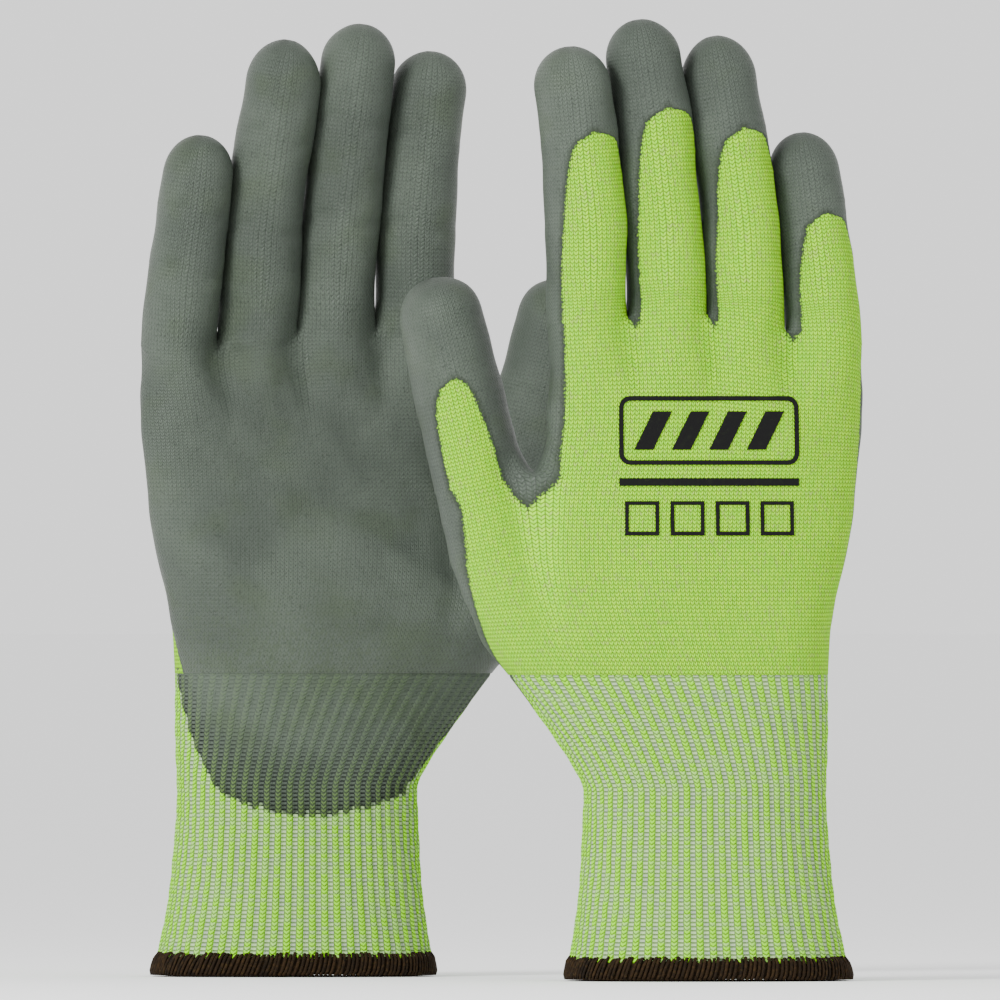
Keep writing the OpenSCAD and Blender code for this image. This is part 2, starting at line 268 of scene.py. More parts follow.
def ribMaterial():
    material, shader = newMaterial("rib", 0.88, 0.14)
    w = Wires(material.node_tree)
    u, v = w.uv()
    wobble = w.math("MULTIPLY", w.math("SUBTRACT", w.noise(300, 1), 0.5), 0.08)
    part = w.math("FRACT", w.math("ADD", u, wobble))
    # the first half of a rib is a zigzag of lime Vs, and the second half a ladder of pale dashes
    isLadder = w.step(w.math("ABSOLUTE", w.math("SUBTRACT", part, 0.76)), 0.17, 0.25, 1.0, 0.0)
    fold = w.math("ABSOLUTE", w.math("SUBTRACT", w.math("MULTIPLY", part, 4.0), 1.0))
    phase = w.math("FRACT", w.math("SUBTRACT", v, w.math("MULTIPLY", fold, 0.5)))
    zigzag = w.math("SUBTRACT", 1.0, w.math("POWER", w.math("ABSOLUTE",
                    w.math("MULTIPLY_ADD", phase, 2.0, -1.0)), 2.0))
    zigzag = w.math("MULTIPLY", zigzag, w.step(fold, 0.75, 1.05, 1.0, 0.2))
    dashPhase = w.math("ABSOLUTE", w.math("MULTIPLY_ADD", w.math("FRACT", v), 2.0, -1.0))
    dashes = w.step(dashPhase, 0.45, 0.95, 1.0, 0.0)
    height = w.mix(isLadder, zigzag, dashes)
    which = w.cell(w.math("MULTIPLY", u, 2.0), v, 2.0)
    lime = w.mix(w.step(which, 0.35, 1.0, 0.0, 0.55), ribLook["lime"], ribLook["pale"])
    pale = w.mix(w.step(which, 0.0, 0.6, 0.7, 0.0), ribLook["pale"], ribLook["dash"])
    # painted shade in the hollows between the zigzags and under the dashes
    lime = w.mix(w.step(zigzag, 0.1, 0.55, 0.75, 0.0), lime, ribLook["gap"])
    pale = w.mix(w.step(dashes, 0.1, 0.6, 0.7, 0.0), pale, ribLook["gap"])
    knit = w.mix(isLadder, lime, pale)
    coat = w.attribute("coat")
    ragged = w.math("MULTIPLY", w.math("SUBTRACT", w.noise(420, 2, offset=(4, 4, 1)), 0.5), 3.2)
    ragged = w.math("MULTIPLY_ADD", isLadder, -0.5, ragged)
    ragged = w.math("MULTIPLY_ADD", height, -0.3, ragged)
    reach = w.math("ADD", coat, ragged)
    mask = w.step(reach, -0.5, 0.5)
    edgeMask = w.step(w.math("ADD", coat, w.math("MULTIPLY", ragged, 0.6)), 0.0, 3.0, 0.45, 0.0)
    # on the cuff the painted shade in the hollows is stronger near the coating's edge
    tone = coatOver(w, mask, w.step(height, 0.0, 1.0, 0.12, 1.0), knit, edgeMask,
                    w.step(coat, 2.0, 16.0, 0.7, 0.12))
    # towards its edge the coating is thin: the holes of the ladders stay open and the dark in them is painted
    # shade, and the lime shows through
    hole = w.math("MULTIPLY", w.math("MULTIPLY", isLadder, w.step(dashes, 0.15, 0.6, 1.0, 0.0)),
                  w.math("MULTIPLY", mask, w.step(coat, 3.0, 20.0, 0.9, 0.1)))
    tone = w.mix(hole, tone, coatLook["speck"])
    through = w.math("MULTIPLY", w.math("MULTIPLY", w.math("SUBTRACT", 1.0, isLadder), zigzag),
                     w.math("MULTIPLY", mask, w.step(coat, 1.0, 16.0, 0.5, 0.10)))
    tone = w.mix(through, tone, ribLook["through"])
    w.put(shader.inputs["Base Color"], tone)
    relief = w.math("MULTIPLY", w.math("MULTIPLY_ADD", w.noise(2400, 2), 0.2, height),
                    w.step(coat, -1.0, 22.0, 1.0, 0.35))
    w.put(shader.inputs["Normal"], w.bump(relief, ribLook["bumpDepth"], 0.9))
    return material


threadLook = {
    "brown": colour(34, 22, 8), "dark": colour(20, 13, 5), "fuzz": colour(56, 40, 18), "bumpDepth": 0.0002,
}


def threadMaterial():
    material, shader = newMaterial("overlock_thread", 0.8)
    w = Wires(material.node_tree)
    u, v = w.uv()
    tone = w.mix(w.cell(u, 0.0, 1.0), threadLook["brown"], threadLook["dark"])
    tone = w.mix(w.step(w.noise(900, 2), 0.45, 0.7, 0.0, 0.5), tone, threadLook["fuzz"])
    w.put(shader.inputs["Base Color"], tone)
    twist = w.math("SINE", w.math("MULTIPLY", w.math("ADD", v, w.math("MULTIPLY", u, 0.3)), 6.2832))
    relief = w.math("MULTIPLY_ADD", w.noise(2200, 2), 0.6, w.math("MULTIPLY", twist, 0.4))
    w.put(shader.inputs["Normal"], w.bump(relief, threadLook["bumpDepth"], 0.8))
    return material


inkLook = {"black": colour(11, 11, 11), "thin": colour(22, 26, 16), "bumpDepth": 0.00015}


def inkMaterial():
    material, shader = newMaterial("print_ink", 0.55)
    w = Wires(material.node_tree)
    tone = w.mix(w.step(w.noise(700, 3), 0.5, 0.75, 0.0, 0.5), inkLook["black"], inkLook["thin"])
    w.put(shader.inputs["Base Color"], tone)
    w.put(shader.inputs["Normal"], w.bump(w.noise(1500, 2), inkLook["bumpDepth"], 0.6))
    return material


knitPaint, ribPaint, threadPaint, inkPaint = knitMaterial(), ribMaterial(), threadMaterial(), inkMaterial()
print("materials made")


def vertexNormals(points, quads):
    a, b, c, d = (points[quads[:, i]] for i in range(4))
    cross = np.cross(c - a, d - b)
    total = np.zeros_like(points)
    for i in range(4):
        np.add.at(total, quads[:, i], cross)
    return total / np.maximum(np.linalg.norm(total, axis=1, keepdims=True), 1e-9)


def closedSheet(points, quads, uvs, normals, thickness, coat=None):
    # the outer skin, an inner one a thickness away, and a rim along every open edge
    count = len(points)
    inner = points - normals * thickness
    edges = {}
    for face in quads:
        face = [i for n, i in enumerate(face) if n == 0 or i != face[n - 1]]
        for i, a in enumerate(face):
            b = face[(i + 1) % len(face)]
            if a != b:
                edges[(a, b)] = True
    rims = [(a, b) for a, b in edges if (b, a) not in edges]
    allPoints = np.vstack([points, inner])
    allNormals = np.vstack([normals, -normals])
    faces, corners = [], []
    for face, uv in zip(quads, uvs):
        keep = [n for n in range(4) if face[n] != face[n - 1]]
        faces.append([int(face[n]) for n in keep])
        corners += [uv[n] for n in keep]
    for face, uv in zip(quads, uvs):
        keep = [n for n in range(4) if face[n] != face[n - 1]][::-1]
        faces.append([int(face[n]) + count for n in keep])
        corners += [uv[n] for n in keep]
    for a, b in rims:
        faces.append([int(b), int(a), int(a) + count, int(b) + count])
        corners += [(0.5, 0.5)] * 4
    coats = None if coat is None else np.concatenate([coat, np.full(count, -9.0)])
    return allPoints, faces, np.array(corners), allNormals, coats


def makePiece(name, side, points, faces, corners, normals, material, coat=None):
    spots = toRow(points, side)
    mesh = bpy.data.meshes.new(name)
    mesh.from_pydata([tuple(p) for p in spots], [], faces)
    uv = mesh.uv_layers.new(name="stitches")
    uv.data.foreach_set("uv", np.asarray(corners, np.float32).ravel())
    if coat is not None:
        mesh.attributes.new("coat", "FLOAT", "POINT").data.foreach_set("value", coat.astype(np.float32))
    mesh.polygons.foreach_set("use_smooth", [True] * len(faces))
    if normals is not None:
        turned = normals if side == "rear" else normals * np.array([-1, -1, 1])
        mesh.normals_split_custom_set_from_vertices([tuple(n) for n in turned])
    mesh.materials.append(material)
    piece = bpy.data.objects.new(name, mesh)
    bpy.context.scene.collection.objects.link(piece)
    return piece


hand = {
    "cuffTop": 80.0, "wristZ": 50.0, "roofZ": 166.0, "mid": 1.0, "pitch": 20.9, "slope": 0.17,
    "hemWidth": 74.0, "hemDepth": 54.0, "wristWidth": 63.0, "wristDepth": 43.0,
    "heelDepth": 46.0, "heelOut": 9.5, "knuckleDepth": 23.4, "squareness": 2.5, "foldOffset": 3.8,
    "crotchPalm": [165.5, 168.5, 169.5], "crotchBack": [168.5, 172.5, 172.5], "thumbSplit": 131.0,
    "rootRun": 40,
}


def rowAt(z):
    # [little-finger side, thumb side, palm side, back side, slope across] of a cross-section
    h = hand
    halfHem, halfWrist = h["hemWidth"] / 2, h["wristWidth"] / 2
    knuckle = 2 * h["pitch"]
    hem = np.array([-halfHem, halfHem, -h["hemDepth"] / 2, h["hemDepth"] / 2, 0])
    wrist = np.array([h["mid"] - halfWrist, h["mid"] + halfWrist,
                      -h["wristDepth"] / 2, h["wristDepth"] / 2, 0])
    heel = np.array([h["mid"] - halfWrist - 1, h["mid"] + knuckle + h["heelOut"],
                     -h["heelDepth"] * 0.56, h["heelDepth"] * 0.44, 0.02])
    roof = np.array([h["mid"] - knuckle, h["mid"] + knuckle,
                     -h["knuckleDepth"] / 2, h["knuckleDepth"] / 2, h["slope"]])
    if z < h["wristZ"]:
        t = 1 - (1 - z / h["wristZ"]) ** 2
        return hem + (wrist - hem) * t
    if z < h["cuffTop"]:
        t = ((z - h["wristZ"]) / (h["cuffTop"] - h["wristZ"])) ** 1.2
        return wrist + (heel - wrist) * t
    t = 1 - (1 - min((z - h["cuffTop"]) / (h["roofZ"] - h["cuffTop"]), 1)) ** 2
    return heel + (roof - heel) * t


def outline(row, angle, off=0.0):
    # the rounded square of a cross-section about its own middle
    c, s = np.cos(angle), np.sin(angle)
    power = 2 / hand["squareness"]
    dx = ((row[1] - row[0]) / 2 + off) * np.sign(c) * np.abs(c) ** power
    dy = ((row[3] - row[2]) / 2 + off) * np.sign(s) * np.abs(s) ** power
    return dx, dy


def runLength(x, y):
    # how far along a line each of its points lies
    return np.concatenate([[0], np.cumsum(np.hypot(np.diff(x), np.diff(y)))])


def ringAt(z, count, first, off=0.0):
    # count points evenly spaced around the cross-section at z, the first one at that angle in degrees
    row = rowAt(z)
    dx, dy = outline(row, np.radians(first + np.arange(1441) / 4), off)
    x, y = (row[0] + row[1]) / 2 + dx, (row[2] + row[3]) / 2 + dy + row[4] * dx
    length = runLength(x, y)
    at = np.arange(count) / count * length[-1]
    return np.stack([np.interp(at, length, x), np.interp(at, length, y), np.full(count, float(z))], 1)


class Digit:
    # the line along a digit's middle, read from the frame's folds and fingertip

    def __init__(self, name, lastRadius, rootRadius, dome, narrow, square):
        folds = [j for j in frame["joints"] if j["name"].startswith(f"rear_{name}_")]
        order = {"root": 0, "mid": 1, "tip": 2}
        folds.sort(key=lambda j: order[j["name"].split("_")[2]])
        spots = [np.array(j["pos_m"]) * 1000 - origin for j in folds]
        tipNode = frame["nodes"][f"rear_{name}_tip"]
        cloud = np.array([tipNode.matrix_world @ v.co for v in tipNode.data.vertices]) * 1000 - origin
        end = cloud[np.argmax(np.linalg.norm(cloud - spots[0], axis=1))]
        ways = [unit(b - a) for a, b in zip(spots, spots[1:] + [end])]
        thumbward = unit(np.array(folds[0]["axis"]) * np.sign(folds[0]["axis"][0]))
        back = [unit(np.cross(way, thumbward)) for way in ways]
        knots = [s + b * hand["foldOffset"] for s, b in zip(spots, back)]
        self.knots = [knots[0] - unit(knots[1] - knots[0]) * hand["rootRun"]] + knots + [end]
        gaps = [np.linalg.norm(b - a) for a, b in zip(self.knots, self.knots[1:])]
        self.at = np.concatenate([[0], np.cumsum(gaps)]) - hand["rootRun"]
        self.folds = list(self.at[1:-1])
        self.length = float(self.at[-1])
        self.thumbward = thumbward
        self.name, self.dome = name, dome
        self.rootRadius, self.lastRadius = rootRadius, lastRadius
        self.narrow, self.square = narrow, square

    def point(self, s):
        s = np.asarray(s, float)
        knots = np.array(self.knots)
        total = 0
        # the corners at the folds are rounded by averaging along the line
        shifts = np.linspace(-5, 5, 9)
        for q in (s + shift for shift in shifts):
            base = np.stack([np.interp(q, self.at, knots[:, i]) for i in range(3)], -1)
            over = np.maximum(q - self.length, 0)[..., None]
            total = total + base + over * unit(knots[-1] - knots[-2])
        return total / len(shifts)

    def frameAt(self, s):
        way = unit(self.point(np.asarray(s, float) + 1) - self.point(np.asarray(s, float) - 1))
        back = unit(np.cross(way, self.thumbward))
        return way, np.cross(back, way), back

    def radius(self, s):
        # tapers along the digit, then closes in a blunt dome
        straight = self.rootRadius + (self.lastRadius - self.rootRadius) * smooth(s / self.length / 1.1)
        for foldAt in self.folds[1:]:
            straight = straight + 0.22 * np.exp(-((s - foldAt) / 6.0) ** 2)
        t = np.clip((s - (self.length - self.dome)) / self.dome, 0, 1)
        return straight * (1 - t ** 2.2) ** 0.5

    def tube(self, s, angle):
        # points at distance s along the digit and at an angle in degrees, 90 being its back
        way, across, back = self.frameAt(s)
        r = self.radius(s)[..., None]
        c, t = np.cos(np.radians(angle))[..., None], np.sin(np.radians(angle))[..., None]
        grown = smooth((np.asarray(s, float) + 2) / 14)[..., None]
        power = 1 + (2 / self.square - 1) * grown
        flat = 1 - (1 - self.narrow) * grown
        return self.point(s) + r * (np.sign(c) * np.abs(c) ** power * across * flat
                                    + np.sign(t) * np.abs(t) ** power * back)

    def stations(self, start, step):
        # distances along the digit that are evenly spaced over its surface, dome included
        s = np.linspace(start, self.length - 0.02, 900)
        length = runLength(s, self.radius(s))
        rows = int(round(length[-1] / step))
        return np.interp(np.arange(1, rows) / rows * length[-1], length, s)


# tip radius, root radius, length of the domed tip, how flat it is across and how square
digits = {
    "little": Digit("little", 8.8, 9.9, 10.5, 0.985, 2.5),
    "ring": Digit("ring", 9.7, 10.6, 11.5, 0.98, 2.5),
    "middle": Digit("middle", 9.9, 10.6, 11.0, 0.98, 2.5),
    "index": Digit("index", 9.9, 10.6, 11.0, 0.98, 2.5),
    "thumb": Digit("thumb", 10.6, 11.8, 11.5, 1.0, 2.1),
}
fingers = ["little", "ring", "middle", "index"]
print("digits read:", {n: round(d.length, 1) for n, d in digits.items()})

# columns of stitches: across the palm or back of a finger, down its side or through a web, and round
# the thumb from one end of its web to the other
wide, flank, thumbWide = 18, 10, 54
palmWide = 4 * wide
backStart = palmWide + flank
backEnd = backStart + palmWide
thumbEnd = palmWide + thumbWide
# all round a finger and the thumb, then the hand above the thumb's crotch and below it
fingerRound, thumbRound = 2 * (wide + flank), thumbWide + flank
highColumns = backEnd + flank
lowColumns = thumbEnd + highColumns - backStart
palmCrotches = [wide, 2 * wide, 3 * wide]
backCrotches = [backStart + column for column in palmCrotches]
fingerAngles = 212.143 + np.arange(fingerRound) * 6.42857
thumbAngles = 208.125 + np.arange(thumbRound) * 5.625


class Skin:
    # gathers rings of points and the quads between them, with a column and row for each corner

    def __init__(self):
        self.points, self.quads, self.uvs, self.coat, self.groups = [], [], [], [], []

    def ring(self, points, coat):
        first = len(self.points)
        self.points += list(np.asarray(points, float))
        self.coat += list(np.broadcast_to(coat, (len(points),)))
        return np.arange(first, first + len(points))

    def join(self, low, high, columns, row, group, closed=True):
        n = len(low)
        for i in range(n if closed else n - 1):
            j = (i + 1) % n
            self.quads.append((low[i], low[j], high[j], high[i]))
            u = columns + i
            self.uvs.append(((u, row), (u + 1, row), (u + 1, row + 1), (u, row + 1)))
            self.groups.append(group)


skin = Skin()

# where the coating ends
coating = {
    # the lime patch on the back of a finger: how far below its top, and its two edges in degrees
    "fingerBelow": [0, 1.6, 3.2, 6.8, 13, 19, 37, 60],
    "fingerThumbward": [106, 91, 83, 75, 66, 60, 50, 46],
    "fingerLittleward": [106, 140, 152, 163, 174, 177, 178, 178],
    "thumbBelow": [0, 1.2, 5, 12.6, 20, 30],
    "thumbOuter": [92, 76, 64, 55, 53, 52],
    "thumbWeb": [92, 101, 108, 115, 120, 124],
    "topBelowTip": {"index": 22.5, "middle": 24.5, "ring": 25.0, "little": 22.5, "thumb": 27.5},
    # the rounded tongue on the palm side of the cuff: its height at each angle around
    "cuffAngle": [150, 180, 186, 202, 216, 229, 241, 253, 265, 281, 300, 324, 338, 350, 360, 366, 390],
    "cuffHeight": [140, 97, 89, 75, 60, 48.5, 45.2, 43.4, 42.0, 41.8, 44.2, 48.0, 56.0, 68, 78, 84, 100],
    # its edges on the hand's thumb side and little-finger side: heights, and the stitch columns there
    "lowOuter": ([80, 84, 93, 104, 115, 126, 131], [97, 99.5, 105, 107.5, 109.5, 110.5, 109]),
    "lowLittle": ([80, 89, 96, 110, 131], [206, 205, 203.5, 202.2, 201.6]),
    "highOuter": ([131, 137, 155, 172], [84.9, 84.1, 84.2, 85.0]),
    "highLittle": ([131, 160, 168], [157.4, 156.8, 156.5]),
    # width of a stitch column in millimetres, and where the thumb's web meets the back
    "lowStitch": 1.08, "highStitch": 1.15, "webColumn": 124.9, "webZ": 122.5,
    # below the thumb: the column where the back begins, those of the thumb side, those of the
    # little finger's side (from the first of them on past column 0), and where counting on ends
    "backFrom": 99, "thumbSide": (88, 120), "littleSide": (180, 20), "wrapTo": 30,
}


def fingerCoat(digit, s, angle):
    # signed distance in millimetres to the edge of the coating on a digit
    isThumb = digit.name == "thumb"
    below = (digit.length - coating["topBelowTip"][digit.name]) - s
    low = np.interp(below, coating["thumbBelow" if isThumb else "fingerBelow"],
                    coating["thumbOuter" if isThumb else "fingerThumbward"])
    high = np.interp(below, coating["thumbBelow" if isThumb else "fingerBelow"],
                     coating["thumbWeb" if isThumb else "fingerLittleward"])
    angle = np.mod(angle + 90, 360) - 90
    r = digit.radius(np.minimum(s, digit.length - digit.dome))
    sideways = np.maximum(low - angle, angle - high) * np.radians(1) * r
    over = np.hypot(-np.minimum(below, 0), np.maximum(sideways, 0))
    return np.where(below < 0, np.maximum(-below, over), np.maximum(sideways, -below))


split = hand["thumbSplit"]
zGrid = np.linspace(split, 176, 46)
palmStack = np.array([np.roll(ringAt(z, highColumns, 180.0), -5, axis=0) for z in zGrid])


def palmRing(z):
    # z has one height for each of the hand's columns; column 0 starts the little finger's palm side
    t = np.clip((z - split) / (zGrid[1] - zGrid[0]), 0, len(zGrid) - 1.001)
    low = t.astype(int)
    part = (t - low)[:, None]
    n = np.arange(highColumns)
    found = palmStack[low, n] * (1 - part) + palmStack[low + 1, n] * part
    found[:, 2] = z
    return found


crotchFront, crotchRear = hand["crotchPalm"], hand["crotchBack"]
topZ = np.interp(np.arange(highColumns),
                 [0, *palmCrotches, palmWide, backStart, *backCrotches, backEnd, highColumns],
                 [163.5, crotchFront[0], crotchFront[1], crotchFront[2], 169.5, 171.5,
                  crotchRear[2], crotchRear[1], crotchRear[0], 166.0, 163.5])

# each finger's own ring at its crotch, then what neighbours share is averaged
sharedTop = palmRing(topZ)
tally = np.zeros(highColumns)
fingerTop = np.zeros((highColumns, 3))


def fingerColumns(f):
    # the palm ring's columns that a finger takes up: palm side, then back
    return wide * f + np.arange(wide + 1), backStart + wide * (3 - f) + np.arange(wide + 1)


def stationFor(digit, z):
    # distance along the digit where its middle is at height z
    s = np.linspace(-30, digit.length, 400)
    return np.interp(z, digit.point(s)[:, 2], s)


for f, name in enumerate(fingers):
    palm, back = fingerColumns(f)
    digit = digits[name]
    groups = [(palm, np.arange(wide + 1)), (back, wide + flank + np.arange(wide + 1))]
    if name == "index":
        groups.append((palmWide + np.arange(1, flank), wide + np.arange(1, flank)))
    if name == "little":
        groups.append((backEnd + np.arange(1, flank), 2 * wide + flank + np.arange(1, flank)))
    for columns, own in groups:
        c = columns % highColumns
        fingerTop[c] += digit.tube(stationFor(digit, topZ[c]), fingerAngles[own])
        tally[c] += 1
fingerTop /= tally[:, None]
lobes = fingerTop - sharedTop

# the thumb's ring where it leaves the hand
thumb = digits["thumb"]
thumbStart = -4.5
thumbRing = thumb.tube(np.full(thumbRound, thumbStart), thumbAngles)
splitRing = palmRing(np.full(highColumns, split))
inWeb = np.arange(1, flank)
thumbWeb = (splitRing[palmWide + inWeb] + thumbRing[thumbRound - inWeb]) / 2
thumbWeb[:, 2] = split + 1.4 * np.sin(np.pi * inWeb / flank)
cornerPalm = (splitRing[palmWide] + thumbRing[0]) / 2
cornerBack = (splitRing[backStart] + thumbRing[thumbWide]) / 2
cornerPalm[2] = split - 1.0
cornerBack[2] = split + 0.5
cornerPalm[1] -= 1.0

lowTop = np.vstack([splitRing[:palmWide], [cornerPalm], thumbRing[1:thumbWide], [cornerBack],
                    splitRing[backStart + 1:]])
baseZ = hand["cuffTop"]
lowBase = np.roll(ringAt(baseZ, lowColumns, 180.0, 0.12), -5, axis=0)
flare = (np.roll(ringAt(baseZ, lowColumns, 180.0), -5, axis=0)
         - np.roll(ringAt(baseZ - 4, lowColumns, 180.0), -5, axis=0)) / 4
leave = np.tile(np.array([0.0, 0.0, 1.0]), (lowColumns, 1))
outwards = palmStack[1] - palmStack[0]
leave += np.concatenate([outwards[:palmWide], np.zeros((thumbWide + 1, 3)),
                         outwards[backStart + 1:]]) * np.array([1, 1, 0])
thumbWay = thumb.frameAt(0.0)[0]
# the thumb's own direction takes over from 6 columns outside its part of the ring
pull = smooth(np.minimum(np.arange(lowColumns) - palmWide + 6,
                         thumbEnd + 6 - np.arange(lowColumns)) / 14)[:, None]
leave = leave * (1 - pull) + thumbWay * pull

# the angle around the cuff's top at each column
denseAngle = 180 + np.arange(1441) / 4
denseLength = runLength(*outline(rowAt(baseZ), np.radians(denseAngle)))
columnAngle = np.interp(((np.arange(lowColumns) + 5) % lowColumns) / lowColumns * denseLength[-1],
                        denseLength, denseAngle)


def lowerCoat(z):
    # coating on the part of the hand below the thumb's crotch, by column
    columns = np.arange(lowColumns)
    a = np.where(columnAngle > 450, columnAngle - 360, columnAngle)
    edge = np.interp(a, coating["cuffAngle"], coating["cuffHeight"])
    tongue = (z - edge) * 0.8
    stitch = coating["lowStitch"]
    outer, little = np.interp(z, *coating["lowOuter"]), np.interp(z, *coating["lowLittle"])
    unrolled = np.where(columns < coating["wrapTo"], columns + lowColumns, columns)
    sideways = -np.minimum(columns - outer, little - unrolled) * stitch
    web = (z - coating["webZ"]) * 0.5 - np.abs(columns - coating["webColumn"]) * stitch
    result = np.where(columns < coating["backFrom"], np.minimum(8, tongue), np.maximum(sideways, web))
    littleSide = (columns >= coating["littleSide"][0]) | (columns <= coating["littleSide"][1])
    result = np.where(littleSide, np.minimum(tongue, (unrolled - little) * stitch), result)
    thumbSide = (columns >= coating["thumbSide"][0]) & (columns < coating["thumbSide"][1])
    return np.where(thumbSide, np.maximum(np.minimum(tongue, (outer - columns) * stitch), web), result)


def upperCoat(z):
    # coating above it, by column; z has one height for each column
    columns = np.arange(highColumns)
    outer, little = np.interp(z, *coating["highOuter"]), np.interp(z, *coating["highLittle"])
    result = np.maximum(outer - columns, columns - little) * coating["highStitch"]
    # a short point of coating runs down the back from each crotch
    for column in backCrotches:
        top = topZ[column]
        result = np.maximum(result, (z - top + 2.6) * 0.45 - np.abs(columns - column - 1.1) * 0.95)
    return result


lowRows = 48
lowRing = skin.ring(lowBase, lowerCoat(baseZ))
row = 0
previous = lowRing
lowRings = [lowRing]
for i in range(1, lowRows + 1):
    t = i / lowRows
    # a smooth curve that leaves the cuff and meets the split in their own directions
    h00, h10 = 2 * t ** 3 - 3 * t ** 2 + 1, t ** 3 - 2 * t ** 2 + t
    h01, h11 = -2 * t ** 3 + 3 * t ** 2, t ** 3 - t ** 2
    span = np.linalg.norm(lowTop - lowBase, axis=1, keepdims=True)
    spots = h00 * lowBase + h10 * flare * span + h01 * lowTop + h11 * leave * span
    ids = skin.ring(spots, lowerCoat(baseZ + (split - baseZ) * t))
    skin.join(previous, ids, 0, row, "hand")
    lowRings.append(ids)
    previous, row = ids, row + 1
topIds = previous

# the web of the thumb, then the hand above it
webIds = skin.ring(thumbWeb, 4.0)
handBase = np.concatenate([topIds[:palmWide + 1], webIds, topIds[thumbEnd:]])
thumbBase = np.concatenate([topIds[palmWide:thumbEnd + 1], webIds[::-1]])
aboveSplit = np.array([skin.points[i] for i in handBase])
drift = aboveSplit - splitRing
highRows = 37
previous = handBase
highRow = row
for i in range(1, highRows + 1):
    z = split + (topZ - split) * i / highRows
    spots = palmRing(z)
    spots += lobes * smooth((z - (topZ - 26)) / 26)[:, None]
    spots += drift * (1 - smooth((z - split) / 11))[:, None]
    ids = skin.ring(spots, upperCoat(z))
    skin.join(previous, ids, 0, highRow, "hand")
    previous, highRow = ids, highRow + 1
palmTop = previous

# the webs between the fingers
webs = []
for f in range(3):
    p, q = skin.points[palmTop[palmCrotches[f]]], skin.points[palmTop[backCrotches[2 - f]]]
    t = (inWeb / flank)[:, None]
    arch = np.array([[0, 0, 1.0]]) * np.sin(np.pi * t) * 1.2
    webs.append(skin.ring(p + (q - p) * t + arch, 3.0))
print("hand skin:", len(skin.points), "points")


def growDigit(digit, ring, angles, row, splits, column):
    # rows of stitches from the ring where a digit leaves the hand, to its tip
    first = np.array([skin.points[i] for i in ring])
    own = stationFor(digit, first[:, 2]) if digit.name != "thumb" else \
        np.array([np.dot(p - digit.point(0.0), thumbWay) for p in first])
    mean = float(np.mean(own))
    stations = digit.stations(mean, 1.05)
    previous = ring
    name = digit.name
    part = 0
    way = digit.frameAt(max(mean, 0.0))[0]
    for i, s in enumerate(stations):
        h = s - mean
        bySelf = own + h
        even = smooth(h / 12)
        along = bySelf * (1 - even) + s * even
        onTube = digit.tube(along, angles)
        keep = 1 - smooth(h / 9)
        spots = (first + way * h) * keep + onTube * (1 - keep)
        ids = skin.ring(spots, fingerCoat(digit, along, angles))
        group = "hand" if i == 0 else f"{name}{part}"
        skin.join(previous, ids, column, row + i, group)
        previous = ids
        if i > 0 and part < len(splits) and s >= splits[part]:
            part += 1
        if i == 0:
            max(float(np.dot(p - digit.point(mean), way)) for p in spots) + mean
    pole = skin.ring([digit.point(digit.length)], 12.0)[0]
    for i in range(len(previous)):
        j = (i + 1) % len(previous)
        skin.quads.append((previous[i], previous[j], pole, pole))
        u, v = column + i, row + len(stations)
        skin.uvs.append(((u, v), (u + 1, v), (u + 0.5, v + 0.3), (u + 0.5, v + 0.3)))
        skin.groups.append(f"{name}{part}")


# how far before a fold a digit's skin passes to its next segment
blendReach = {"index": 9.0, "middle": 9.0, "ring": 9.0, "little": 8.0, "thumb": 9.0}
for f, name in enumerate(fingers):
    digit = digits[name]
    palm, back = fingerColumns(f)
    thumbSide = webs[f] if f < 3 else palmTop[palmWide + 1:backStart]
    littleSide = webs[f - 1][::-1] if f > 0 else palmTop[backEnd + 1:]
    ring = np.concatenate([palmTop[palm % highColumns], thumbSide, palmTop[back % highColumns], littleSide])
    reach = blendReach[name]
    growDigit(digit, ring, fingerAngles, highRow, [s - reach - 0.2 for s in digit.folds[1:]], wide * f)
growDigit(thumb, thumbBase, thumbAngles, row, [thumb.folds[1] - blendReach["thumb"] - 0.2], palmWide)

skinPoints = np.array(skin.points)
skinQuads = np.array(skin.quads)
skinCoat = np.array(skin.coat)
skinGroups = np.array(skin.groups)

# relax the skin round the webs
relax = {"rounds": 18, "amount": 0.5, "reach": 7.5, "all": 0.10}
edgePairs = np.concatenate([skinQuads[:, [i, (i + 1) % 4]] for i in range(4)])
edgePairs = edgePairs[edgePairs[:, 0] != edgePairs[:, 1]]
edgePairs = np.concatenate([edgePairs, edgePairs[:, ::-1]])
degree = np.bincount(edgePairs[:, 0], minlength=len(skinPoints)).astype(float)
crotchIds = palmTop[palmCrotches + backCrotches]
webPoints = skinPoints[np.concatenate(webs + [webIds, crotchIds, topIds[[palmWide, thumbEnd]]])]
nearest = np.full(len(skinPoints), 1e9)
for p in webPoints:
    nearest = np.minimum(nearest, np.linalg.norm(skinPoints - p, axis=1))
pullIn = (np.exp(-(nearest / relax["reach"]) ** 2) * relax["amount"])[:, None]
for ids in lowRings[1:]:
    for column in (palmWide, thumbEnd):
        spread = np.exp(-((np.arange(lowColumns) - column) / 9) ** 2) * relax["amount"]
        pullIn[ids, 0] = np.maximum(pullIn[ids, 0], spread)
for turn in range(relax["rounds"]):
    around = np.zeros_like(skinPoints)
    np.add.at(around, edgePairs[:, 0], skinPoints[edgePairs[:, 1]])
    around /= degree[:, None]
    strength = np.maximum(pullIn, relax["all"] if turn < 4 else 0)
    strength[lowRing] = 0
    skinPoints = skinPoints + (around - skinPoints) * strength

